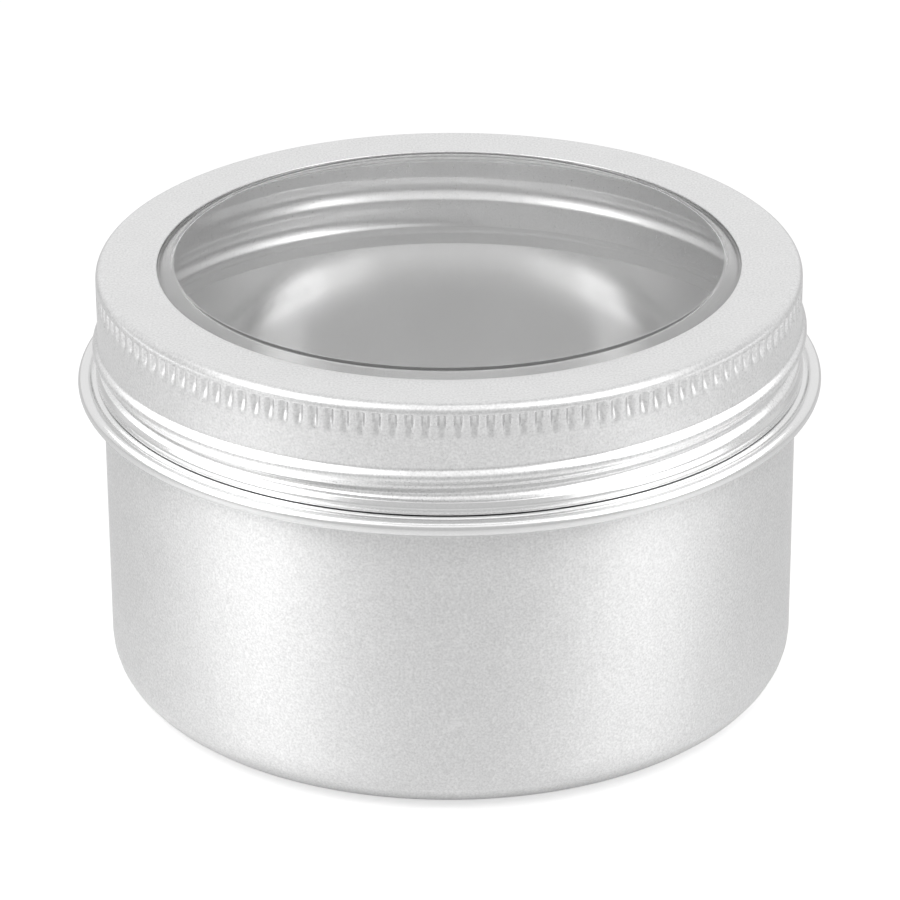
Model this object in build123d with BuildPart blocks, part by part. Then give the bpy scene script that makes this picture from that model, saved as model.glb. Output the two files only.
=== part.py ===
from build123d import *
import math
import os

# A round screw tin of drawn aluminium with a clear window in its lid.
# Millimetres, +Z up, the origin at the middle of the face that the tin rests on.
# The camera side of the tin is -Y. Angles are counted from -Y, turning towards +X.

# Tin: a drawn cup with a folded bead, a set-in neck and a rolled thread on the neck
body_radius = 31.7
body_sheet = 0.4
corner_radius = 4.0
body_height = 29.8
foot_width = 4.6
panel_rise = 0.8
panel_slope = 0.9
panel_bend = 0.7
bead_reach = 2.3
bead_thickness = 1.4
bead_root_bend = 0.5
neck_set_in = 0.8
neck_height = 8.5
neck_root_bend = 0.45
rim_turn_gap = 0.15
rim_turn_length = 1.1

# Thread: one start, right-hand, just over one turn on the neck
thread_pitch = 3.0
thread_height = 0.48
thread_half_width = 0.7
thread_rise = 3.15
thread_start = -170.0
thread_end = 238.0

# Lid ring: flat rim round the window hole, knurled band, threaded skirt, rolled hem
lid_sheet = 0.3
hole_radius = 26.5
hole_edge_round = 0.1
lid_edge_radius = 0.9
skirt_clearance = 0.39
hem_clearance = 0.08
hem_thickness = 0.87
hem_round = 0.3
hem_height = 1.05
flare_height = 0.5
rest_gap = 0.15

# Rolled thread of the lid: a ridge that stands out and a groove that grips under the neck's thread
groove_drop = 1.4
groove_clearance = 0.3
groove_half_width = 0.65
ridge_above_groove = 1.75
ridge_height = 0.36
ridge_half_width = 0.8
lid_thread_start = -95.0
lid_thread_end = 212.0

# Knurled band: short upright flutes, pressed into the skirt under the lid's edge
flute_count = 144
flute_share = 0.45
flute_length = 2.65
flute_depth = 0.24
flute_top_drop = 0.55
flute_flank_angle = 42.0

# Window: one thermoformed clear sheet, held under the lid ring, its panel pushed up through the hole
window_sheet = 0.5
window_proud = 0.45
window_hole_clearance = 0.25
shoulder_width = 1.15
shoulder_bend = 0.45
flange_clearance = 0.67

# Seal: a flat ring of closed-cell foam between the window's flange and the tin's rim
seal_thickness = 0.8
seal_clearance = 0.45
seal_width = 3.8
seal_rim_gap = 0.1

# One overrun for every cutter and every rib that has to root in a wall
overrun = 0.12
# Share of the distance between two turned sheets that each of the turn's two bends may take
full_round_share = 0.499

FULL_TURN = 360.0
QUARTER_TURN = 90.0

os.makedirs("parts", exist_ok=True)

# Places on the tin, worked out from its own sizes
half_sheet = body_sheet / 2
wall_mid = body_radius - half_sheet
bead_radius = body_radius + bead_reach
bead_mid = bead_radius - half_sheet
bead_low = body_height - bead_thickness + half_sheet
bead_high = body_height - half_sheet
bead_bend = (bead_high - bead_low) * full_round_share
fold_foot = bead_low - bead_root_bend
fold_nose = bead_mid - half_sheet / 2
neck_radius = body_radius - neck_set_in
neck_mid = neck_radius - half_sheet
rim_top = body_height + neck_height
rim_mid = neck_mid - body_sheet - rim_turn_gap
rim_bend = (neck_mid - rim_mid) * full_round_share
panel_radius = body_radius - corner_radius - foot_width - panel_slope

# Places on the lid, worked out from the neck, the seal and the window under it
half_lid_sheet = lid_sheet / 2
thread_crest = neck_radius + thread_height
skirt_inner = thread_crest + skirt_clearance
skirt_outer = skirt_inner + lid_sheet
skirt_mid = skirt_inner + half_lid_sheet
hem_inner = thread_crest + hem_clearance
hem_outer = hem_inner + hem_thickness
hem_bottom = body_height + rest_gap
hem_top = hem_bottom + hem_height
flare_low = hem_top - flare_height
seal_bottom = rim_top + seal_rim_gap
flange_bottom = seal_bottom + seal_thickness
flange_top = flange_bottom + window_sheet
lid_top = flange_top + lid_sheet
thread_front = body_height + thread_rise
groove_front = thread_front - groove_drop
ridge_front = groove_front + ridge_above_groove
rib_crest = neck_radius + groove_clearance
groove_crest = rib_crest + lid_sheet


def helix_path(radius, front, start, end):
    """Helix of the thread's pitch that crosses the front at the height front, from angle start to end."""
    path = Helix(thread_pitch, thread_pitch * (end - start) / FULL_TURN, radius)
    foot = front + thread_pitch * start / FULL_TURN
    return path.rotate(Axis.Z, start - QUARTER_TURN).moved(Location((0, 0, foot)))


def rolled_rib(root, crest, half_width, front, start, end):
    """Solids that follow the thread from the radius root to crest: the arched run and a dome at each end."""
    path = helix_path(root, front, start, end)
    height = abs(crest - root)
    solids = []
    for place in (0, 1):
        point = path @ place
        proud = Vector(point.X, point.Y, 0).normalized() * math.copysign(1, crest - root)
        with BuildSketch(Plane(origin=point, x_dir=proud, z_dir=path % place)) as section:
            with BuildLine():
                arch = ThreePointArc((0, -half_width), (height, 0), (0, half_width))
                Line(arch @ 1, arch @ 0)
            make_face()
        if place == 0:
            with BuildPart() as run:
                sweep(sections=section.sketch, path=path, is_frenet=True)
            solids.append(run.part)
        upper = split(section.sketch, Plane(origin=point, z_dir=proud.cross(path % place)),
                      keep=Keep.TOP, mode=Mode.PRIVATE)
        with BuildPart() as dome:
            revolve(upper, axis=Axis(point, proud), revolution_arc=FULL_TURN)
        solids.append(dome.part)
    return solids


# Thread of the neck, rolled out of the sheet: a ridge outside and the matching hollow inside
neck_ridge = rolled_rib(neck_radius - overrun, thread_crest, thread_half_width + overrun / 2,
                        thread_front, thread_start, thread_end)
neck_hollow = rolled_rib(neck_radius - body_sheet - overrun, thread_crest - body_sheet,
                         thread_half_width - overrun, thread_front, thread_start, thread_end)

# Tin body: the wall's middle line is traced with the sheet's thickness and revolved
with BuildPart() as tin_body:
    with BuildSketch(Plane.XZ):
        with BuildLine():
            FilletPolyline(
                (0, panel_rise + half_sheet),
                (panel_radius, panel_rise + half_sheet),
                (panel_radius + panel_slope, half_sheet),
                (wall_mid, half_sheet),
                (wall_mid, bead_low),
                (bead_mid, bead_low),
                (bead_mid, bead_high),
                (neck_mid, bead_high),
                (neck_mid, rim_top - half_sheet),
                (rim_mid, rim_top - half_sheet),
                (rim_mid, rim_top - rim_turn_length),
                radius=[panel_bend, panel_bend, corner_radius - half_sheet, bead_root_bend,
                        bead_bend, bead_bend, neck_root_bend, rim_bend, rim_bend],
            )
        trace(line_width=body_sheet)
        # The fold is pressed shut, flush with the wall inside, so what lies between its layers is filled
        with BuildLine():
            Polyline(
                (body_radius - body_sheet, fold_foot),
                (wall_mid, fold_foot),
                (wall_mid + bead_root_bend, bead_low),
                (fold_nose, bead_low),
                (fold_nose, bead_high),
                (body_radius - body_sheet, bead_high),
                close=True,
            )
        make_face()
    revolve(axis=Axis.Z)
    for solid in neck_ridge:
        add(solid)
    for solid in neck_hollow:
        add(solid, mode=Mode.SUBTRACT)

tin_body.part.label = "tin_body"
export_step(tin_body.part, "parts/tin_body.step")


# One flute's hipped cutter, widest at the surface and narrower as it goes in
flute_pitch = 2 * math.pi * skirt_outer / flute_count
flute_width = flute_pitch * flute_share
flute_middle = lid_top - flute_top_drop - flute_length / 2
flute_widening = overrun * math.tan(math.radians(flute_flank_angle))

with BuildPart() as flute:
    with BuildSketch(Plane(origin=(0, -skirt_outer - overrun, flute_middle), x_dir=(1, 0, 0), z_dir=(0, 1, 0))):
        Rectangle(flute_width + 2 * flute_widening, flute_length + 2 * flute_widening)
    extrude(amount=flute_depth + overrun, taper=flute_flank_angle)

with BuildPart() as flute_back:
    with BuildSketch(Plane(origin=(0, -skirt_inner - overrun, flute_middle), x_dir=(1, 0, 0), z_dir=(0, 1, 0))):
        Rectangle(flute_width + 2 * flute_widening, flute_length + 2 * flute_widening)
    extrude(amount=flute_depth + overrun, taper=flute_flank_angle)

# Thread of the lid: a ridge out of the skirt with a hollow behind it, and a groove that stands proud inside
skirt_ridge = rolled_rib(skirt_outer - overrun, skirt_outer + ridge_height, ridge_half_width + overrun / 2,
                         ridge_front, lid_thread_start, lid_thread_end)
skirt_hollow = rolled_rib(skirt_inner - overrun, skirt_inner + ridge_height, ridge_half_width - overrun,
                          ridge_front, lid_thread_start, lid_thread_end)
groove_ridge = rolled_rib(skirt_inner + overrun, rib_crest, groove_half_width + overrun / 2,
                          groove_front, lid_thread_start, lid_thread_end)
groove_hollow = rolled_rib(skirt_outer + overrun, groove_crest, groove_half_width - overrun / 2,
                           groove_front, lid_thread_start, lid_thread_end)

# Lid ring: flat rim and skirt traced from the sheet, then the rolled thread, the hem and the knurl
with BuildPart() as lid_ring:
    with BuildSketch(Plane.XZ) as lid_section:
        with BuildLine():
            FilletPolyline(
                (hole_radius, lid_top - half_lid_sheet),
                (skirt_mid, lid_top - half_lid_sheet),
                (skirt_mid, hem_top),
                radius=lid_edge_radius - half_lid_sheet,
            )
        trace(line_width=lid_sheet)
        fillet(lid_section.vertices().group_by(Axis.X)[0].sort_by(Axis.Y)[-1], hole_edge_round)
    revolve(axis=Axis.Z)
    for solid in skirt_ridge + groove_ridge:
        add(solid)
    for solid in skirt_hollow + groove_hollow:
        add(solid, mode=Mode.SUBTRACT)
    # Hem: the skirt flares out and is rolled in on itself
    with BuildSketch(Plane.XZ):
        with BuildLine():
            FilletPolyline(
                (skirt_outer, hem_top),
                (hem_outer, flare_low),
                (hem_outer, hem_bottom),
                (hem_inner, hem_bottom),
                (hem_inner, hem_top),
                radius=hem_round,
            )
            Line((hem_inner, hem_top), (skirt_outer, hem_top))
        make_face()
    revolve(axis=Axis.Z)

    # Knurl: each flute is pressed in, so that its back stands proud inside
    with PolarLocations(0, flute_count):
        add(flute_back.part)
    with PolarLocations(0, flute_count):
        add(flute.part, mode=Mode.SUBTRACT)


lid_ring.part.label = "lid_ring"
export_step(lid_ring.part, "parts/lid_ring.step")


# Window: flange, sloping shoulder and raised panel of one sheet
flange_radius = skirt_inner - flange_clearance
shoulder_foot = hole_radius - window_hole_clearance
panel_edge = shoulder_foot - shoulder_width
panel_mid = lid_top + window_proud - window_sheet / 2
flange_mid = flange_top - window_sheet / 2

with BuildPart() as window:
    with BuildSketch(Plane.XZ):
        with BuildLine():
            FilletPolyline(
                (flange_radius, flange_mid),
                (shoulder_foot, flange_mid),
                (panel_edge, panel_mid),
                (0, panel_mid),
                radius=shoulder_bend,
            )
        trace(line_width=window_sheet)
    revolve(axis=Axis.Z)

window.part.label = "window"
export_step(window.part, "parts/window.step")


# Seal ring: flat foam washer that the rim presses up against the window's flange
seal_outer = skirt_inner - seal_clearance

with BuildPart() as seal_ring:
    with BuildSketch(Plane.XY.offset(seal_bottom)):
        Circle(seal_outer)
        Circle(seal_outer - seal_width, mode=Mode.SUBTRACT)
    extrude(amount=seal_thickness)

seal_ring.part.label = "seal_ring"
export_step(seal_ring.part, "parts/seal_ring.step")
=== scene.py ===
"""Window lid tin: a round screw tin of satin aluminium with a clear window in its lid, in a pale studio.

Every piece is a surface of revolution worked out with numpy: a profile in the plane of radius and
height, carried round the axis, with the rolled threads and the knurl as heights added to the radius.
Sizes are in millimetres in the classes and become metres when a mesh is made. Angles are in degrees,
counted from the front (-Y) towards the right (+X).
"""

from __future__ import annotations

import logging
import math
from dataclasses import dataclass, field
from enum import Enum

import bpy
import numpy as np
from bpy.types import Material, Node, NodeSocket, NodeTree, Object
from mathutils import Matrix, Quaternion, Vector

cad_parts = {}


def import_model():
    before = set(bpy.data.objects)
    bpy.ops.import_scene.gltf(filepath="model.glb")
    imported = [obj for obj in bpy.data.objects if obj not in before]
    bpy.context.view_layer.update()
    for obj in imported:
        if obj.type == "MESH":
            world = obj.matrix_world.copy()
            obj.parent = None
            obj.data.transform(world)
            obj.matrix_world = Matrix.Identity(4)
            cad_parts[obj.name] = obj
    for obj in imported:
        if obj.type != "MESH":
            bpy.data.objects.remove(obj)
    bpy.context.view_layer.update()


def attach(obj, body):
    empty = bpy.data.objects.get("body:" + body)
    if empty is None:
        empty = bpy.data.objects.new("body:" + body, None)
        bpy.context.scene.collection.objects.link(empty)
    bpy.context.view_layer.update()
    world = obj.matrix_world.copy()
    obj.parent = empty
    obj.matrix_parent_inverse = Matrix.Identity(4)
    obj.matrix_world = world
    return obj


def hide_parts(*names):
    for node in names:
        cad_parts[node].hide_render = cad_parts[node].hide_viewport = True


LOG = logging.getLogger("window_lid_tin")

MM = 0.001
# Bend radius at a fold's corners as a share of its width: nearly a half round
FULL_ROUND = 0.499
# One face in this many shows which way a shell's faces point
VOLUME_SAMPLE = 7
# Distance in millimetres under which two points count as one
TINY = 1e-6
# Range of the grain's noise that a finish spreads over its own range
GRAIN_LOW, GRAIN_HIGH = 0.3, 0.7
# Anisotropic Rotation counts in whole turns
QUARTER_TURN = 0.25


class Slot(Enum):
    """Material slots of the record."""

    TIN = "tin_aluminium"
    LID = "lid_aluminium"
    WINDOW = "window_plastic"
    SEAL = "seal_foam"


class Body(Enum):
    """Bodies of the frame that the pieces ride on."""

    TIN = "tin"
    LINER = "liner"
    LID = "lid"


def arc(centre: tuple[float, float], radius: float, start: float, end: float, count: int) -> np.ndarray:
    """Points on an arc: centre + radius * (cos t, sin t), with t in degrees in even steps.

    Args:
        centre: Distance from the axis and height of the arc's centre.
        radius: Radius of the arc.
        start: First angle in degrees, 0 pointing away from the axis and 90 up.
        end: Last angle in degrees.
        count: Number of points.

    Returns:
        Array of points, each a distance from the axis and a height.
    """
    turn = np.radians(np.linspace(start, end, count))
    return np.stack([centre[0] + radius * np.cos(turn), centre[1] + radius * np.sin(turn)], axis=1)


def run(
    first: tuple[float, float], last: tuple[float, float], step: float, support: float = 0.06
) -> np.ndarray:
    """Points on a straight run, in even steps, with one more close to each end to hold the shading there.

    Args:
        first: Distance from the axis and height of the first point.
        last: The same for the last point.
        step: Longest step between points.
        support: Distance of the extra points from the ends.

    Returns:
        Array of points from first to last.
    """
    start, end = np.array(first, float), np.array(last, float)
    length = float(np.linalg.norm(end - start))
    share = np.linspace(0, 1, max(2, math.ceil(length / step) + 1))
    longest_bare = 4 * support
    if length > longest_bare:
        share = np.union1d(share, [support / length, 1 - support / length])
    return start + share[:, None] * (end - start)


@dataclass(frozen=True)
class Corner:
    """Corner of a sheet's middle line.

    Args:
        out: Distance from the axis.
        up: Height.
        bend: Radius of the bend there.
        step: Longest step between points on the run that leads to it.
    """

    out: float
    up: float
    bend: float = 0.0
    step: float = 2.0


def bent_line(corners: list[Corner], arc_step: float = 12.0) -> tuple[np.ndarray, np.ndarray]:
    """Middle line of a bent sheet: straight runs joined by tangent arcs at the corners.

    At a corner where the line turns by t, the arc of radius b starts b * tan(t / 2) before the corner
    and its centre lies b to the side that the line turns to.

    Args:
        corners: Corners in order.
        arc_step: Largest turn between two points of an arc, in degrees.

    Returns:
        The points and the unit normals to the left of the line.
    """
    spots = np.array([(corner.out, corner.up) for corner in corners])
    ways = np.diff(spots, axis=0)
    ways /= np.linalg.norm(ways, axis=1)[:, None]
    points: list[np.ndarray] = []
    normals: list[np.ndarray] = []
    here = spots[0]
    for place in range(1, len(corners)):
        way = ways[place - 1]
        left = np.array([-way[1], way[0]])
        last = place == len(corners) - 1
        turn = 0.0
        if not last:
            after = ways[place]
            turn = math.atan2(way[0] * after[1] - way[1] * after[0], float(way @ after))
        bend = corners[place].bend
        reach = bend * math.tan(abs(turn) / 2)
        stop = spots[place] - way * reach
        straight = run(tuple(here), tuple(stop), corners[place].step)
        points.append(straight)
        normals.append(np.tile(left, (len(straight), 1)))
        if last or bend == 0:
            here = spots[place]
            continue
        side = math.copysign(1.0, turn)
        centre = stop + left * side * bend
        count = max(3, math.ceil(math.degrees(abs(turn)) / arc_step) + 1)
        heading = math.atan2(left[1], left[0]) + np.linspace(0, turn, count)[1:]
        round_normals = np.stack([np.cos(heading), np.sin(heading)], axis=1)
        points.append(centre - round_normals * side * bend)
        normals.append(round_normals)
        here = points[-1][-1]
    line, facing = np.concatenate(points), np.concatenate(normals)
    fresh = np.append(True, np.linalg.norm(np.diff(line, axis=0), axis=1) > TINY)
    return line[fresh], facing[fresh]


def rings_mesh(
    name: str, rings: list[np.ndarray], closed: bool, cuts: dict[int, int] | None = None
) -> Object:
    """Object whose surface joins rings of points, each with its neighbour.

    Rings of equal length are joined by four-sided faces, a ring of one point by a fan, and a ring that is
    a whole number of times longer by triangles: each coarse edge takes as many fine edges as that number.

    Args:
        name: Name of the object and its mesh.
        rings: Rings in order along the profile, each an array of points in millimetres.
        closed: True if the last ring joins the first.
        cuts: Material index from a ring on, by the ring's number.

    Returns:
        The object, smooth shaded, with faces that point outwards.
    """
    starts = np.cumsum([0] + [len(ring) for ring in rings])
    pairs = [(i, i + 1) for i in range(len(rings) - 1)] + ([(len(rings) - 1, 0)] if closed else [])
    faces: list[list[int]] = []
    finishes: list[int] = []
    finish = 0
    for here, there in pairs:
        finish = (cuts or {}).get(here, finish)
        made = joined(starts[here], len(rings[here]), starts[there], len(rings[there]))
        faces.extend(made)
        finishes.extend([finish] * len(made))
    points = np.concatenate(rings) * MM
    if signed_volume(points, faces) < 0:
        faces = [face[::-1] for face in faces]
    mesh = bpy.data.meshes.new(name)
    mesh.from_pydata(points.tolist(), [], faces)
    mesh.polygons.foreach_set("material_index", finishes)
    mesh.polygons.foreach_set("use_smooth", [True] * len(faces))
    mesh.update()
    piece = bpy.data.objects.new(name, mesh)
    bpy.context.scene.collection.objects.link(piece)
    return piece


def joined(first: int, first_count: int, second: int, second_count: int) -> list[list[int]]:
    """Faces between two rings of points.

    Args:
        first: Index of the first ring's first point.
        first_count: Its number of points.
        second: Index of the second ring's first point.
        second_count: Its number of points.

    Returns:
        Faces as lists of point indices, all turning the same way.
    """
    if first_count > second_count:
        return [face[::-1] for face in joined(second, second_count, first, first_count)]
    fine = np.arange(second_count)
    after = (fine + 1) % second_count
    if first_count == 1:
        return np.stack([np.full(second_count, first), second + after, second + fine], axis=1).tolist()
    if first_count == second_count:
        return np.stack([first + fine, first + after, second + after, second + fine], axis=1).tolist()
    times = second_count // first_count
    coarse = fine // times
    held = np.where(fine % times < times / 2, coarse, (coarse + 1) % first_count)
    fans = np.stack([first + held, second + after, second + fine], axis=1)
    near = np.arange(first_count)
    middle = near * times + math.ceil(times / 2)
    bridges = np.stack([first + near, first + (near + 1) % first_count, second + middle], axis=1)
    return fans.tolist() + bridges.tolist()


def signed_volume(points: np.ndarray, faces: list[list[int]]) -> float:
    """Sum of a . (b x c) / 6 over the triangles of a sample of faces, negative if they point inwards.

    Args:
        points: Points in metres.
        faces: Faces as lists of point indices.

    Returns:
        The sum.
    """
    sample = faces[::VOLUME_SAMPLE]
    corners = [(face[0], face[i], face[i + 1]) for face in sample for i in range(1, len(face) - 1)]
    a, b, c = (points[np.array(corners)[:, i]] for i in range(3))
    return float(np.einsum("ij,ij->i", a, np.cross(b, c)).sum()) / 6


def turned(out: np.ndarray | float, up: float | np.ndarray, angles: np.ndarray) -> np.ndarray:
    """Ring of points round the axis: (out * sin a, -out * cos a, up) at each angle a.

    Args:
        out: Distance from the axis, one for all or one for each angle.
        up: Height.
        angles: Angles in degrees.

    Returns:
        Array of points, one for each angle.
    """
    turn = np.radians(angles)
    return np.stack([out * np.sin(turn), -out * np.cos(turn), np.broadcast_to(up, angles.shape)], axis=1)


def round_angles(count: int) -> np.ndarray:
    """Even angles from -180 degrees, one for each of count columns."""
    return -180.0 + 360.0 / count * np.arange(count)


@dataclass(frozen=True)
class RolledThread:
    """Thread rolled into a sheet: a rounded rib along a helix that fades out at both ends.

    Args:
        front: Height at which the helix crosses the front.
        pitch: Rise in one turn.
        start: Angle at which the rib starts.
        end: Angle at which it ends.
        half_width: Half its width.
        height: How far it stands out, or in where this is negative.
        fade: Angle over which it also rises from nothing at each end, or 0 for rounded ends alone.
    """

    front: float
    pitch: float
    start: float
    end: float
    half_width: float
    height: float
    fade: float = 0.0

    def rise(self, angles: np.ndarray, up: float, radius: float) -> np.ndarray:
        """Height of the rib over the sheet along a ring.

        With d the distance from the helix as a share of the half width, it is height * (1 - d * d) ^ 1.5,
        times a straight ramp from 0 to 1 over the fade at each end.

        Args:
            angles: Angles of the ring's points.
            up: Height of the ring.
            radius: Distance of the sheet from the axis.

        Returns:
            Height of the rib at each point.
        """
        most = np.zeros(len(angles))
        for turn in range(-2, 3):
            along = angles + 360.0 * turn
            held = np.clip(along, self.start, self.end)
            beyond = np.radians(along - held) * radius
            above = up - (self.front + self.pitch * held / 360.0)
            share = np.hypot(beyond, above) / self.half_width
            rib = np.clip(1 - share * share, 0, 1) ** 1.5
            if self.fade:
                rib *= np.clip(np.minimum(held - self.start, self.end - held) / self.fade, 0, 1)
            most = np.maximum(most, rib)
        return self.height * most


@dataclass(frozen=True)
class Knurl:
    """Band of upright flutes pressed into a skirt, each with a round top and a foot that rises slowly.

    Args:
        count: Number of flutes round the skirt.
        low: Height of the flutes' foot.
        high: Height of their top.
        radius: Distance of the skirt from the axis.
        share: Width of a flute as a share of the pitch.
        depth: How far it is pressed in.
        wall_share: Width of its walls as a share of its half width.
        foot_slope: Height over which it rises out of the skirt at its foot.
    """

    count: int = 144
    low: float = 36.75
    high: float = 39.45
    radius: float = 32.07
    share: float = 0.7
    depth: float = 0.42
    wall_share: float = 0.75
    foot_slope: float = 1.9

    def dent(self, angles: np.ndarray, up: float) -> np.ndarray:
        """Depth of the flutes along a ring.

        With d the distance from the flute's middle line as a share of its half width, the depth follows
        a smooth step in (1 - d) / wall share, so that the edges of floor and lands are rounded. Over the
        foot it is multiplied by a smooth step in height.

        Args:
            angles: Angles of the ring's points.
            up: Height of the ring.

        Returns:
            Depth at each point.
        """
        pitch = 2 * math.pi * self.radius / self.count
        half = pitch * self.share / 2
        across = ((angles / 360.0 * self.count) % 1.0 - 0.5) * pitch
        middle, reach = (self.low + self.high) / 2, (self.high - self.low) / 2 - half
        beyond = max(0.0, up - middle - reach)
        near = np.clip(1 - np.hypot(across, beyond) / half, 0, 1)
        step = np.clip(near / self.wall_share, 0, 1)
        foot = np.clip((up - self.low) / self.foot_slope, 0, 1)
        return self.depth * step * step * (3 - 2 * step) * foot * foot * (3 - 2 * foot)


class NodeKit:
    """Short names for the nodes and links of one node tree."""

    def __init__(self, tree: NodeTree) -> None:
        """Keeps the tree and clears it."""
        self.tree = tree
        tree.nodes.clear()

    def add(self, kind: str, **values: object) -> Node:
        """New node, with its properties and its inputs set.

        Args:
            kind: Node type without the ShaderNode in front.
            **values: Properties in lower case, and inputs by name with spaces as underscores.

        Returns:
            The node.
        """
        node = self.tree.nodes.new(kind if kind.startswith("Node") else "ShaderNode" + kind)
        for name, value in values.items():
            if name[0].islower() and hasattr(node, name):
                setattr(node, name, value)
                continue
            socket = node.inputs[int(name[1:])] if name[1:].isdigit() else node.inputs[name.replace("_", " ")]
            if isinstance(value, NodeSocket):
                self.tree.links.new(value, socket)
            else:
                socket.default_value = value
        return node

    def link(self, source: NodeSocket, target: NodeSocket) -> None:
        """Joins an output to an input."""
        self.tree.links.new(source, target)

    def maths(self, operation: str, first: object, second: object = 0.0, third: object = 0.0) -> NodeSocket:
        """Output of a Math node.

        Args:
            operation: The node's operation.
            first: First value or socket.
            second: Second value or socket.
            third: Third value or socket.

        Returns:
            The value's socket.
        """
        return self.add("Math", operation=operation, _0=first, _1=second, _2=third).outputs[0]


def new_material(name: str) -> tuple[Material, NodeKit]:
    made = bpy.data.materials.new(name)
    made.use_nodes = True
    return made, NodeKit(made.node_tree)


def grey(tone: float) -> tuple[float, float, float, float]:
    """Colour of one grey tone."""
    return (tone, tone, tone, 1.0)


def grain_group() -> NodeTree:
    """Shader node group for the fine grain of satin metal.

    Two noises, one at the grain's size and one of soft patches, are added. The group gives the grain as a
    value about 0.5 that varies over the surface, and a normal bent by it.

    Returns:
        The group, with inputs Grain size, Patch size, Patches and Depth, and outputs Grain and Normal.
    """
    tree = bpy.data.node_groups.new("Metal grain", "ShaderNodeTree")
    kit = NodeKit(tree)
    for name, value in (("Grain size", 0.0002), ("Patch size", 0.003), ("Patches", 0.1), ("Depth", 0.25)):
        socket = tree.interface.new_socket(name, in_out="INPUT", socket_type="NodeSocketFloat")
        socket.default_value = value
    tree.interface.new_socket("Grain", in_out="OUTPUT", socket_type="NodeSocketFloat")
    tree.interface.new_socket("Normal", in_out="OUTPUT", socket_type="NodeSocketVector")
    given = kit.add("NodeGroupInput")
    place = kit.add("TexCoord").outputs["Object"]
    fine_scale = kit.maths("DIVIDE", 1.0, given.outputs["Grain size"])
    patch_scale = kit.maths("DIVIDE", 1.0, given.outputs["Patch size"])
    fine = kit.add("TexNoise", Vector=place, Scale=fine_scale, Detail=2.0, Roughness=0.6).outputs["Fac"]
    patch = kit.add("TexNoise", Vector=place, Scale=patch_scale, Detail=3.0, Roughness=0.5).outputs["Fac"]
    grain = kit.add("Mix", data_type="FLOAT", _0=given.outputs["Patches"], _2=fine, _3=patch).outputs[0]
    bump = kit.add("Bump", Strength=given.outputs["Depth"], Distance=0.00002, Height=fine)
    given_out = kit.add("NodeGroupOutput")
    kit.link(grain, given_out.inputs["Grain"])
    kit.link(bump.outputs["Normal"], given_out.inputs["Normal"])
    return tree


@dataclass(frozen=True)
class Metal:
    """Aluminium finish with a fine grain.

    Args:
        name: Name of the material.
        low: Grey of the grain's dark spots.
        high: Grey of its light spots.
        smooth: Least roughness.
        rough: Most roughness.
        grain_size: Size of the grain in metres.
        depth: Strength of the grain's bump.
        drawn: How much longer its highlights are up and down than round the wall, 0 to 1.
    """

    name: str
    low: float
    high: float
    smooth: float
    rough: float
    grain_size: float = 0.0002
    depth: float = 0.25
    drawn: float = 0.0

    def material(self, group: NodeTree) -> Material:
        """Material of this finish.

        Args:
            group: The grain's node group.

        Returns:
            The material.
        """
        made, kit = new_material(self.name)
        grain = kit.add("Group", node_tree=group, Grain_size=self.grain_size, Depth=self.depth)
        spots = grain.outputs["Grain"]
        tone = kit.add("MapRange", From_Min=GRAIN_LOW, From_Max=GRAIN_HIGH, To_Min=self.low,
                       To_Max=self.high, Value=spots).outputs["Result"]
        colour = kit.add("CombineColor", Red=tone, Green=tone, Blue=tone).outputs["Color"]
        haze = kit.add("MapRange", From_Min=GRAIN_LOW, From_Max=GRAIN_HIGH, To_Min=self.smooth,
                       To_Max=self.rough, Value=spots).outputs["Result"]
        shader = kit.add("BsdfPrincipled", Metallic=1.0, Base_Color=colour, Roughness=haze,
                         Normal=grain.outputs["Normal"])
        if self.drawn:
            round_axis = kit.add("Tangent", direction_type="RADIAL", axis="Z").outputs["Tangent"]
            shader.inputs["Anisotropic"].default_value = self.drawn
            shader.inputs["Anisotropic Rotation"].default_value = QUARTER_TURN
            kit.link(round_axis, shader.inputs["Tangent"])
        kit.link(shader.outputs["BSDF"], kit.add("OutputMaterial").inputs["Surface"])
        return made


@dataclass(frozen=True)
class ClearPlastic:
    """Clear thermoformed sheet. Lamps pass it unbent, so that they light the inside of the tin.

    Args:
        name: Name of the material.
        tint: Grey of what passes through it.
        roughness: Roughness of its surface.
        bending: Index of refraction.
        haze: Share of the light that it scatters.
        wave_scale: Waves of its surface in a metre.
        shadow_tint: Share of a lamp's light that passes it.
    """

    name: str = "clear_plastic"
    tint: float = 0.985
    roughness: float = 0.02
    bending: float = 1.5
    haze: float = 0.0
    wave_scale: float = 90.0
    shadow_tint: float = 0.93

    def material(self) -> Material:
        """Material of this finish: slightly wavy plastic, and plain Transparent for shadow rays.

        Returns:
            The material.
        """
        made, kit = new_material(self.name)
        place = kit.add("TexCoord").outputs["Object"]
        waves = kit.add("TexNoise", Vector=place, Scale=self.wave_scale, Detail=1.0).outputs["Fac"]
        bump = kit.add("Bump", Strength=0.02, Distance=0.0002, Height=waves).outputs["Normal"]
        glass = kit.add("BsdfPrincipled", Base_Color=grey(self.tint), Roughness=self.roughness,
                        IOR=self.bending, Transmission_Weight=1.0 - self.haze, Normal=bump)
        clear = kit.add("BsdfTransparent", Color=grey(self.shadow_tint))
        shadow = kit.add("LightPath").outputs["Is Shadow Ray"]
        mixed = kit.add("MixShader", _0=shadow, _1=glass.outputs["BSDF"], _2=clear.outputs["BSDF"])
        kit.link(mixed.outputs["Shader"], kit.add("OutputMaterial").inputs["Surface"])
        return made


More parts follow.
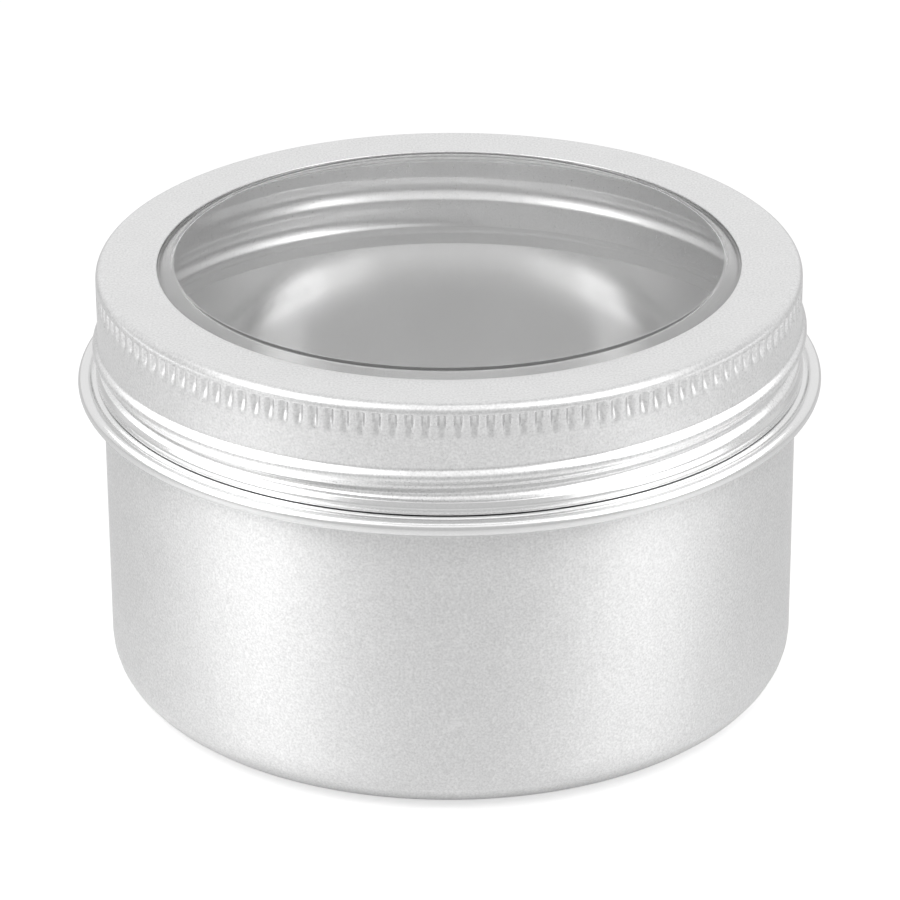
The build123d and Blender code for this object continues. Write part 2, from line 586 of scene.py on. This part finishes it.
@dataclass(frozen=True)
class Foam:
    """Closed-cell foam: matte off-white, darker in the middle of a cell, where its bump is low, and lighter
    between cells: painted shade in the cells' hollows.
    """

    name: str = "seal_foam"
    low: float = 0.78
    high: float = 0.88
    roughness: float = 0.85
    cell_scale: float = 2500.0

    def material(self) -> Material:
        """Material of this finish.

        Returns:
            The material.
        """
        made, kit = new_material(self.name)
        place = kit.add("TexCoord").outputs["Object"]
        cells = kit.add("TexVoronoi", Vector=place, Scale=self.cell_scale).outputs["Distance"]
        # The grey follows the cells that also make the bump, darker in each hollow: painted shade.
        tone = kit.add("MapRange", From_Min=0.0, From_Max=0.8, To_Min=self.low, To_Max=self.high,
                       Value=cells).outputs["Result"]
        colour = kit.add("CombineColor", Red=tone, Green=tone, Blue=tone).outputs["Color"]
        bump = kit.add("Bump", Strength=0.3, Distance=0.0001, Height=cells).outputs["Normal"]
        shader = kit.add("BsdfPrincipled", Base_Color=colour, Roughness=self.roughness, Normal=bump)
        kit.link(shader.outputs["BSDF"], kit.add("OutputMaterial").inputs["Surface"])
        return made


@dataclass(frozen=True)
class Finishes:
    """Materials of the tin, made once and shared by its pieces.

    Args:
        satin: Top of the lid.
        wall: Straight wall of the tin.
        corner: Its bottom corner.
        skirt: Skirt of the lid.
        bright: Bead and hem, polished by rolling.
        inside: Inner side of both sheets.
        neck: Inner side of the neck.
        base: Inner side of the base, also given to the step under the neck inside; its darker grey is painted
            shade.
        window: Flat panel of the window.
        shoulder: Its bent shoulder, less clear than the panel.
        foam: Seal.
    """

    satin: Material
    wall: Material
    corner: Material
    skirt: Material
    bright: Material
    inside: Material
    neck: Material
    base: Material
    window: Material
    shoulder: Material
    foam: Material

    @classmethod
    def build(cls) -> Finishes:
        """Makes the materials."""
        group = grain_group()
        return cls(
            satin=Metal("satin_aluminium", 0.7, 0.92, smooth=0.32, rough=0.38).material(group),
            wall=Metal("drawn_satin_aluminium", 0.7, 0.92, smooth=0.46, rough=0.52,
                       drawn=0.8).material(group),
            corner=Metal("corner_aluminium", 0.7, 0.92, smooth=0.28, rough=0.33).material(group),
            skirt=Metal("skirt_aluminium", 0.7, 0.92, smooth=0.27, rough=0.32).material(group),
            bright=Metal("rolled_aluminium", 0.8, 0.84, smooth=0.2, rough=0.24, depth=0.06).material(group),
            inside=Metal("drawn_aluminium", 0.82, 0.86, smooth=0.1, rough=0.12, depth=0.0).material(group),
            neck=Metal("neck_aluminium", 0.74, 0.8, smooth=0.27, rough=0.31, depth=0.0).material(group),
            # The base's grey is darker than the inside's: painted shade on the tin's floor and on the step
            # under the neck.
            base=Metal("base_aluminium_painted_shade", 0.58, 0.64, smooth=0.4, rough=0.46, depth=0.0).material(group),
            window=ClearPlastic().material(),
            shoulder=ClearPlastic("hazy_plastic", tint=0.97, roughness=0.12, haze=0.12).material(),
            foam=Foam().material(),
        )


def place_piece(piece: Object, node: str, body: Body, finishes: list[Material]) -> None:
    """Dresses a piece and ties it to the frame.

    Args:
        piece: The piece.
        node: CAD node that it stands for.
        body: Body that it rides on.
        finishes: Its materials, in the order of its faces' material indices.
    """
    for finish in finishes:
        piece.data.materials.append(finish)
    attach(piece, body.value)
    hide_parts(node)
    LOG.info("%s: %d faces, rides on %s", piece.name, len(piece.data.polygons), body.value)


@dataclass(frozen=True)
class TinBody:
    """Drawn cup with a folded bead, a set-in neck, a rolled thread and a rim turned inwards.

    Args:
        columns: Points of a ring.
        sheet: Thickness of the sheet.
        radius: Radius of the wall outside.
        corner: Radius of the bottom corner.
        foot_width: Width of the ring that the tin stands on.
        panel_rise: Height of the base's panel over that ring.
        panel_slope: Width of the slope between them.
        panel_bend: Radius of its bends.
        height: Height of the bead's top.
        bead_reach: How far the bead stands out.
        bead_thickness: Its height.
        bead_root: Radius of the bend under it.
        bead_start: How far out of the wall its finish starts.
        bead_width: Width of its round crown.
        dip: Depth of the groove beside the crown.
        dip_out: Width of its outer slope.
        dip_width: Width of both slopes.
        dip_bend: Radius of their bends.
        hem_gap: How much lower than the crown the lid's hem sits.
        neck_root: Radius of the bend at the neck's foot.
        neck_set_in: How far the neck is set in from the wall.
        neck_height: Height of the neck.
        rim_turn_gap: Gap between the neck and the sheet turned in there.
        rim_turn_length: Length of that turn.
        thread_rise: Height of the thread over the bead, at the front.
        thread_step: Distance between rings there.
        thread_margins: Plain heights at the neck's foot and top.
        wall_foot: Height at which the wall's finish starts.
        step_round: Radius of the step from neck to wall, inside.
        step_finish: Heights under and over the bead's top that the step's painted shade spans, inside.
    """

    columns: int = 288
    sheet: float = 0.4
    radius: float = 31.7
    corner: float = 4.0
    foot_width: float = 4.6
    panel_rise: float = 0.8
    panel_slope: float = 0.9
    panel_bend: float = 0.7
    height: float = 29.8
    bead_reach: float = 2.3
    bead_thickness: float = 1.4
    bead_root: float = 0.5
    bead_start: float = 0.3
    bead_width: float = 0.75
    dip: float = 0.3
    dip_out: float = 0.35
    dip_width: float = 0.65
    dip_bend: float = 0.2
    hem_gap: float = 0.05
    neck_root: float = 0.4
    neck_set_in: float = 0.8
    neck_height: float = 8.5
    rim_turn_gap: float = 0.15
    rim_turn_length: float = 1.1
    thread_rise: float = 3.15
    thread_step: float = 0.16
    thread_margins: tuple[float, float] = (0.5, 1.0)
    wall_foot: float = 1.9
    step_round: float = 0.14
    step_finish: tuple[float, float] = (0.8, 0.5)

    def corners(self) -> list[Corner]:
        """Corners of the sheet's middle line, from the middle of the base to the cut edge inside the rim.

        Returns:
            The corners in order.
        """
        half = self.sheet / 2
        wall = self.radius - half
        bead = self.radius + self.bead_reach - half
        bead_low, bead_high = self.height - self.bead_thickness + half, self.height - half
        bead_bend = (bead_high - bead_low) * FULL_ROUND
        crown, seat = bead - self.bead_width, bead_high - self.hem_gap
        neck = self.radius - self.neck_set_in - half
        rim = neck - self.sheet - self.rim_turn_gap
        rim_bend = (neck - rim) * FULL_ROUND
        top = self.height + self.neck_height
        panel = self.radius - self.corner - self.foot_width - self.panel_slope
        return [
            Corner(0.0, self.panel_rise + half),
            Corner(panel, self.panel_rise + half, self.panel_bend, step=4.0),
            Corner(panel + self.panel_slope, half, self.panel_bend),
            Corner(wall, half, self.corner - half),
            Corner(wall, bead_low, self.bead_root, step=1.5),
            Corner(bead, bead_low, bead_bend, step=0.4),
            Corner(bead, bead_high, bead_bend),
            Corner(crown, bead_high, self.dip_bend, step=0.4),
            Corner(crown - self.dip_out, bead_high - self.dip, self.dip_bend, step=0.3),
            Corner(crown - self.dip_width, seat, self.dip_bend * 0.75, step=0.3),
            Corner(neck, seat, self.neck_root, step=0.4),
            Corner(neck, top - half, rim_bend, step=self.thread_step),
            Corner(rim, top - half, rim_bend),
            Corner(rim, top - self.rim_turn_length, step=0.5),
        ]

    def thread(self) -> RolledThread:
        """The neck's thread."""
        return RolledThread(self.height + self.thread_rise, pitch=3.0, start=-170.0, end=238.0,
                            half_width=0.8, height=0.48)

    def thread_inside(self) -> RolledThread:
        """The same thread on the inner side of the sheet, where it is a softer, wider and lower hollow."""
        return RolledThread(self.height + self.thread_rise - 0.25, pitch=3.0, start=-190.0, end=238.0,
                            half_width=1.25, height=0.42, fade=35.0)

    def build(self, finishes: Finishes) -> None:
        """Makes the tin's body.

        Args:
            finishes: Materials of the tin.
        """
        line, facing = bent_line(self.corners())
        half = self.sheet / 2
        outside, inside = line - facing * half, self.pressed_shut((line + facing * half)[::-1])
        profile = np.concatenate([outside, inside])
        outer_thread, inner_thread = self.thread(), self.thread_inside()
        low = self.height + self.thread_margins[0]
        high = self.height + self.neck_height - self.thread_margins[1]
        neck_least = self.radius - self.neck_set_in - self.sheet * 1.2
        angles = round_angles(self.columns)
        rings = []
        for place, (out, up) in enumerate(profile):
            thread = outer_thread if place < len(outside) else inner_thread
            if out < TINY:
                rings.append(np.array([[0.0, 0.0, up]]))
                continue
            on_neck = low < up < high and neck_least < out
            rings.append(turned(out + (thread.rise(angles, up, out) if on_neck else 0.0), up, angles))
        cuts = self.finish_cuts(profile, len(outside))
        piece = rings_mesh("tin_body_shell", rings, closed=False, cuts=cuts)
        place_piece(piece, "tin_body", Body.TIN, [
            finishes.corner, finishes.wall, finishes.bright, finishes.inside, finishes.base, finishes.neck,
        ])

    def pressed_shut(self, inside: np.ndarray) -> np.ndarray:
        """Inside of the sheet with the bead's fold pressed shut: a small round step from neck to wall.

        Args:
            inside: Points of the sheet's inner side, from the rim down.

        Returns:
            The same without the points beyond the wall, and with an arc in their place.
        """
        wall = self.radius - self.sheet
        within = inside[:, 0] < wall + TINY
        place = int(np.argmin(within))
        foot = self.height - self.hem_gap - self.sheet - self.step_round
        step = arc((wall - self.step_round, foot), self.step_round, 90, 0, 6)
        above = within & (np.arange(len(inside)) < place)
        above &= (inside[:, 0] < wall - self.step_round) | (inside[:, 1] > self.height + 1.0)
        below = within & (np.arange(len(inside)) >= place)
        return np.concatenate([inside[above], step, inside[below]])

    def finish_cuts(self, profile: np.ndarray, outside_count: int) -> dict[int, int]:
        """Ring numbers from which the finishes of wall, bead, neck, step, inside and base start. The step
        takes the base's darker finish, which is painted shade.

        Args:
            profile: Points of the closed profile.
            outside_count: Number of them on the outside.

        Returns:
            Material index by ring number.
        """
        past_corner = self.radius - self.corner
        wall = int(np.argmax((profile[:, 0] > past_corner) & (profile[:, 1] > self.wall_foot)))
        bead = int(np.argmax(profile[:, 0] > self.radius + self.bead_start))
        out, up = profile[outside_count:].T
        step_top = outside_count + int(np.argmax(up < self.height + self.step_finish[1]))
        step_foot = outside_count + int(np.argmax(up < self.height - self.step_finish[0]))
        base = outside_count + int(np.argmax(out < past_corner))
        # The step under the neck takes the base's darker finish (index 4): painted shade.
        return {0: 0, wall: 1, bead: 2, outside_count: 5, step_top: 4, step_foot: 3, base: 4}


@dataclass(frozen=True)
class LidRing:
    """Screw lid: flat rim round the window hole, knurl, rolled thread and hem, pressed from one sheet.

    Args:
        columns: Points of a ring.
        knurl_columns: The same on the knurl.
        back_columns: The same behind it.
        sheet: Thickness of the sheet.
        top: Height of the flat rim.
        hole: Radius of the window hole.
        hole_round: Radius of its edge's round.
        edge: Radius of the round between rim and skirt.
        skirt: Radius of the skirt outside.
        hem_out: Radius of the hem outside.
        hem_in: Its radius inside.
        hem_low: Height of its underside.
        hem_top: Height at which the skirt flares out to it.
        flare: Height of the flare.
        hem_round: Radius of its lower edges.
        groove_front: Height of the thread's groove at the front.
        ridge_front: Height of its ridge there.
        thread_step: Distance between rings on the skirt.
        knurl_step: The same on the knurl.
        knurl_back_step: The same behind it.
        flat_step: The same on the rim.
        knurl_margin: Height under the flutes that keeps their rings.
        knurl: The flutes.
    """

    columns: int = 432
    knurl_columns: int = 1728
    back_columns: int = 864
    sheet: float = 0.3
    top: float = 40.0
    hole: float = 26.5
    hole_round: float = 0.1
    edge: float = 0.9
    skirt: float = 32.07
    hem_out: float = 32.33
    hem_in: float = 31.46
    hem_low: float = 29.82
    hem_top: float = 31.0
    flare: float = 0.5
    hem_round: float = 0.14
    groove_front: float = 31.55
    ridge_front: float = 33.3
    thread_step: float = 0.16
    knurl_step: float = 0.18
    knurl_back_step: float = 0.3
    flat_step: float = 1.2
    knurl_margin: float = 0.15
    knurl: Knurl = field(default_factory=Knurl)

    def threads(self) -> tuple[RolledThread, RolledThread]:
        """The ridge that stands out of the skirt and the groove under it."""
        return (
            RolledThread(self.ridge_front, pitch=3.0, start=-95.0, end=212.0, half_width=0.8, height=0.5),
            RolledThread(self.groove_front, pitch=3.0, start=-95.0, end=212.0, half_width=0.75, height=-0.57),
        )

    def ring(self, out: float, up: float, columns: int, pressed: bool) -> np.ndarray:
        """One ring of the lid.

        Args:
            out: Distance from the axis, without threads and knurl.
            up: Height.
            columns: Number of points.
            pressed: True where the ring lies on the skirt.

        Returns:
            Points of the ring.
        """
        angles = round_angles(columns)
        shift = np.zeros(columns)
        if pressed:
            for thread in self.threads():
                shift += thread.rise(angles, up, out)
            shift -= self.knurl.dent(angles, up)
        return turned(out + shift, up, angles)

    def build(self, finishes: Finishes) -> None:
        """Makes the lid ring.

        Args:
            finishes: Materials of the tin.
        """
        inner = self.skirt - self.sheet
        flat_out, flat_in = self.skirt - self.edge, self.hole + self.hole_round
        edge_low, ceiling = self.top - self.edge, self.top - self.sheet
        knurl_low = self.knurl.low - self.knurl_margin
        top = np.concatenate([
            arc((flat_in, self.top - self.hole_round), self.hole_round, 180, 90, 5),
            run((flat_in, self.top), (flat_out, self.top), self.flat_step)[1:],
            arc((flat_out, edge_low), self.edge, 90, 0, 12)[1:],
        ])
        knurled = run((self.skirt, edge_low), (self.skirt, knurl_low), self.knurl_step)[1:]
        plain = run((self.skirt, knurl_low), (self.skirt, self.hem_top), self.thread_step)[1:]
        hem = self.hem_profile()
        back = run((inner, self.hem_top), (inner, knurl_low), self.thread_step * 1.5)
        back_knurl = run((inner, knurl_low), (inner, edge_low), self.knurl_back_step)[1:]
        under = np.concatenate([
            arc((flat_out, edge_low), self.edge - self.sheet, 0, 90, 8)[1:],
            run((flat_out, ceiling), (self.hole, ceiling), self.flat_step)[1:],
        ])
        rings: list[np.ndarray] = []
        for profile, columns, pressed in (
            (top, self.columns, False), (knurled, self.knurl_columns, True), (plain, self.columns, True),
            (hem, self.columns, False), (back, self.columns, True), (back_knurl, self.back_columns, True),
            (under, self.columns, False),
        ):
            rings += [self.ring(float(out), float(up), columns, pressed) for out, up in profile]
        hem_start = len(top) + len(knurled) + len(plain)
        cuts = {0: 0, len(top) - 1: 1, hem_start: 2, hem_start + len(hem): 3}
        piece = rings_mesh("lid_ring_shell", rings, closed=True, cuts=cuts)
        place_piece(piece, "lid_ring", Body.LID,
                    [finishes.satin, finishes.skirt, finishes.bright, finishes.inside])

    def hem_profile(self) -> np.ndarray:
        """Profile of the rolled hem, from the flare outside, round the bottom and up the inside.

        Returns:
            Points of the profile.
        """
        low_out = self.hem_low + self.hem_round
        flare_foot = self.hem_top - self.flare
        # The flare's bends are cut off by a few hundredths, which rounds them
        outside = np.concatenate([
            run((self.skirt + 0.02, self.hem_top - 0.04), (self.hem_out - 0.03, flare_foot + 0.06), 0.2),
            run((self.hem_out, flare_foot - 0.05), (self.hem_out, low_out), 0.3),
        ])
        bottom = np.concatenate([
            arc((self.hem_out - self.hem_round, low_out), self.hem_round, 0, -90, 7)[1:],
            arc((self.hem_in + self.hem_round, low_out), self.hem_round, -90, -180, 7),
        ])
        inside = run((self.hem_in, low_out), (self.hem_in, self.hem_top - 0.1), 0.3)[1:]
        return np.concatenate([outside, bottom, inside, [[self.hem_in + 0.1, self.hem_top]]])


@dataclass(frozen=True)
class WindowPane:
    """Clear sheet under the lid ring: flange, sloping shoulder and raised panel."""

    columns: int = 288
    sheet: float = 0.5
    top: float = 40.45
    flange_out: float = 31.1
    flange_top: float = 39.7
    hole: float = 26.5
    hole_gap: float = 0.25
    shoulder: float = 1.15
    bend: float = 0.45

    def build(self, finishes: Finishes) -> None:
        """Makes the window.

        Args:
            finishes: Materials of the tin.
        """
        half = self.sheet / 2
        foot = self.hole - self.hole_gap
        line, facing = bent_line([
            Corner(self.flange_out, self.flange_top - half),
            Corner(foot, self.flange_top - half, self.bend, step=1.5),
            Corner(foot - self.shoulder, self.top - half, self.bend, step=0.4),
            Corner(0.0, self.top - half, step=6.0),
        ], arc_step=5.0)
        over, below = (line - facing * half)[::-1], line + facing * half
        profile = np.concatenate([over, below])
        angles = round_angles(self.columns)
        rings = [turned(out, up, angles) if out > TINY else np.array([[0.0, 0.0, up]]) for out, up in profile]
        panel_edge = foot - self.shoulder - self.bend / 3
        bent = profile[:, 0] > panel_edge
        cuts = {0: 0, int(np.argmax(bent)): 1, len(profile) - int(np.argmax(bent[::-1])): 0}
        piece = rings_mesh("window_pane", rings, closed=False, cuts=cuts)
        place_piece(piece, "window", Body.LID, [finishes.window, finishes.shoulder])


@dataclass(frozen=True)
class SealRing:
    """Flat foam washer between the window's flange and the tin's rim, with soft edges."""

    columns: int = 192
    outer: float = 31.32
    width: float = 3.8
    low: float = 38.4
    thickness: float = 0.8
    softness: float = 0.12

    def build(self, finishes: Finishes) -> None:
        """Makes the seal.

        Args:
            finishes: Materials of the tin.
        """
        inner, high, soft = self.outer - self.width, self.low + self.thickness, self.softness
        profile = np.concatenate([
            arc((self.outer - soft, high - soft), soft, 0, 90, 4),
            arc((inner + soft, high - soft), soft, 90, 180, 4),
            arc((inner + soft, self.low + soft), soft, 180, 270, 4),
            arc((self.outer - soft, self.low + soft), soft, 270, 360, 4),
        ])
        angles = round_angles(self.columns)
        piece = rings_mesh("foam_seal", [turned(out, up, angles) for out, up in profile], closed=True)
        place_piece(piece, "seal_ring", Body.LINER, [finishes.foam])


@dataclass(frozen=True)
class Softbox:
    """Rectangular area lamp that points at the tin or at the floor beside it.

    Args:
        name: Name of the lamp.
        azimuth: Its direction from the tin, in degrees from the front towards the right.
        elevation: Its height over the floor, in degrees.
        distance: Its distance in metres.
        width: Its width in metres.
        height: Its height in metres.
        strength: Its radiance, where 1 is white.
        downward: True if it points at the floor, with its height along the direction from the tin.
        aim: Height over the floor that the others point at, in metres.
    """

    name: str
    azimuth: float
    elevation: float
    distance: float
    width: float
    height: float
    strength: float
    downward: bool = False
    aim: float = 0.02

    def build(self) -> None:
        """Makes the lamp, with a power of pi times area times radiance."""
        lamp = bpy.data.lights.new(self.name, "AREA")
        lamp.shape = "RECTANGLE"
        lamp.size, lamp.size_y = self.width, self.height
        lamp.energy = math.pi * self.width * self.height * self.strength
        made = bpy.data.objects.new(self.name, lamp)
        turn, rise = math.radians(self.azimuth), math.radians(self.elevation)
        way = Vector((math.sin(turn) * math.cos(rise), -math.cos(turn) * math.cos(rise), math.sin(rise)))
        made.location = way * self.distance + Vector((0.0, 0.0, self.aim))
        made.rotation_mode = "QUATERNION"
        down = Quaternion((0.0, 0.0, 1.0), turn)
        made.rotation_quaternion = down if self.downward else way.to_track_quat("Z", "Y")
        made.visible_camera = False
        bpy.context.scene.collection.objects.link(made)


@dataclass(frozen=True)
class Studio:
    """Pale floor, white surroundings, softboxes and the camera at the photograph's angle.

    Args:
        floor_half: Half the floor's side in metres.
        floor_tone: Grey of the floor.
        floor_lift: Light added to it where the camera sees it, which makes it white.
        floor_lift_in_metal: Light added to it where metal shows it.
        air: Strength of the world's light on the object.
        room: Strength of the world as metal shows it in front.
        backdrop: The same behind the object.
        lens: Focal length of the camera in millimetres.
        sensor: Width of its sensor in millimetres.
        distance: Its distance in metres.
        elevation: How far it looks down, in degrees.
        aim: Height in metres that it looks at.
        roll: Its turn about its line of sight, in degrees.
        softboxes: The lamps.
    """

    floor_half: float = 3.0
    floor_tone: float = 0.6
    floor_lift: float = 0.56
    floor_lift_in_metal: float = 0.16
    air: float = 0.5
    room: float = 0.6
    backdrop: float = 0.92
    lens: float = 187.36
    sensor: float = 36.0
    distance: float = 0.4332
    elevation: float = 25.23
    aim: float = 0.02082
    roll: float = -0.3
    softboxes: tuple[Softbox, ...] = (
        Softbox("overhead", 0.0, 80.0, 0.6, 0.5, 0.14, 0.9),
        Softbox("front", 0.0, 52.0, 0.6, 0.5, 0.24, 0.55),
        Softbox("left_key", -56.0, 42.0, 0.6, 0.32, 0.36, 2.5),
        Softbox("right_key", 56.0, 42.0, 0.6, 0.3, 0.36, 2.3),
        Softbox("left_side", -90.0, 58.0, 0.6, 0.3, 0.2, 1.0),
        Softbox("right_side", 90.0, 58.0, 0.6, 0.3, 0.2, 0.7),
        Softbox("left_pool", -57.0, 14.0, 0.082, 0.04, 0.09, 1.6, downward=True),
        Softbox("right_pool", 57.0, 14.0, 0.082, 0.035, 0.09, 1.4, downward=True),
    )

    def build(self) -> None:
        """Makes the floor, the world, the lamps and the camera, and sets the view transform."""
        self.build_floor()
        self.build_world()
        for softbox in self.softboxes:
            softbox.build()
        self.build_camera()
        bpy.context.scene.view_settings.view_transform = "Standard"

    def seen(self, kit: NodeKit) -> NodeSocket:
        """1 for rays from the camera or through plastic, which see a plain white background."""
        path = kit.add("LightPath")
        return kit.maths("MAXIMUM", path.outputs["Is Camera Ray"], path.outputs["Is Transmission Ray"])

    def build_floor(self) -> None:
        """Makes the floor: pale and matte, lifted to white where it is seen, apart from the tin's shadow."""
        side = self.floor_half
        mesh = bpy.data.meshes.new("floor")
        corners = [(-side, -side, 0), (side, -side, 0), (side, side, 0), (-side, side, 0)]
        mesh.from_pydata(corners, [], [(0, 1, 2, 3)])
        floor = bpy.data.objects.new("floor", mesh)
        bpy.context.scene.collection.objects.link(floor)
        made, kit = new_material("pale_floor")
        made.cycles.emission_sampling = "NONE"
        matte = kit.add("BsdfDiffuse", Color=grey(self.floor_tone))
        mirrored = kit.add("LightPath").outputs["Is Glossy Ray"]
        in_metal = kit.maths("MULTIPLY", mirrored, self.floor_lift_in_metal)
        lift = kit.maths("MULTIPLY_ADD", self.seen(kit), self.floor_lift, in_metal)
        glow = kit.add("Emission", Color=grey(1.0), Strength=lift)
        both = kit.add("AddShader", _0=matte.outputs["BSDF"], _1=glow.outputs["Emission"])
        kit.link(both.outputs["Shader"], kit.add("OutputMaterial").inputs["Surface"])
        mesh.materials.append(made)

    def build_world(self) -> None:
        """Makes the world: white where it is seen, and in metal a backdrop that dims to the room in front."""
        world = bpy.data.worlds.new("studio")
        bpy.context.scene.world = world
        world.use_nodes = True
        world.cycles.sampling_method = "NONE"
        kit = NodeKit(world.node_tree)
        way = kit.add("TexCoord").outputs["Generated"]
        behind = kit.add("SeparateXYZ", _0=way).outputs["Y"]
        around = kit.add("MapRange", interpolation_type="SMOOTHSTEP", From_Min=0.0, From_Max=0.85,
                         To_Min=self.room, To_Max=self.backdrop, Value=behind).outputs["Result"]
        mirrored = kit.add("LightPath").outputs["Is Glossy Ray"]
        lit = kit.add("Mix", data_type="FLOAT", _0=mirrored, _2=self.air, _3=around).outputs[0]
        strength = kit.add("Mix", data_type="FLOAT", _0=self.seen(kit), _2=lit, _3=1.0).outputs[0]
        back = kit.add("Background", Color=grey(1.0), Strength=strength)
        kit.link(back.outputs["Background"], kit.add("OutputWorld").inputs["Surface"])

    def build_camera(self) -> None:
        """Makes the camera: it looks at the middle of the tin from the front and above, turned a little."""
        camera = bpy.data.cameras.new("camera")
        camera.lens = self.lens
        camera.sensor_width = self.sensor
        camera.clip_start, camera.clip_end = 0.01, 20.0
        made = bpy.data.objects.new("camera", camera)
        rise = math.radians(self.elevation)
        back = Vector((0.0, -math.cos(rise), math.sin(rise)))
        made.location = Vector((0.0, 0.0, self.aim)) + back * self.distance
        made.rotation_mode = "QUATERNION"
        level = (-back).to_track_quat("-Z", "Y")
        made.rotation_quaternion = level @ Quaternion((0.0, 0.0, 1.0), math.radians(self.roll))
        bpy.context.scene.collection.objects.link(made)
        bpy.context.scene.camera = made


def main() -> None:
    """Builds the studio and the tin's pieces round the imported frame."""
    logging.basicConfig(level=logging.INFO, format="%(name)s: %(message)s")
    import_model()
    Studio().build()
    finishes = Finishes.build()
    for part in (TinBody(), LidRing(), WindowPane(), SealRing()):
        part.build(finishes)


if __name__ == "__main__":
    main()
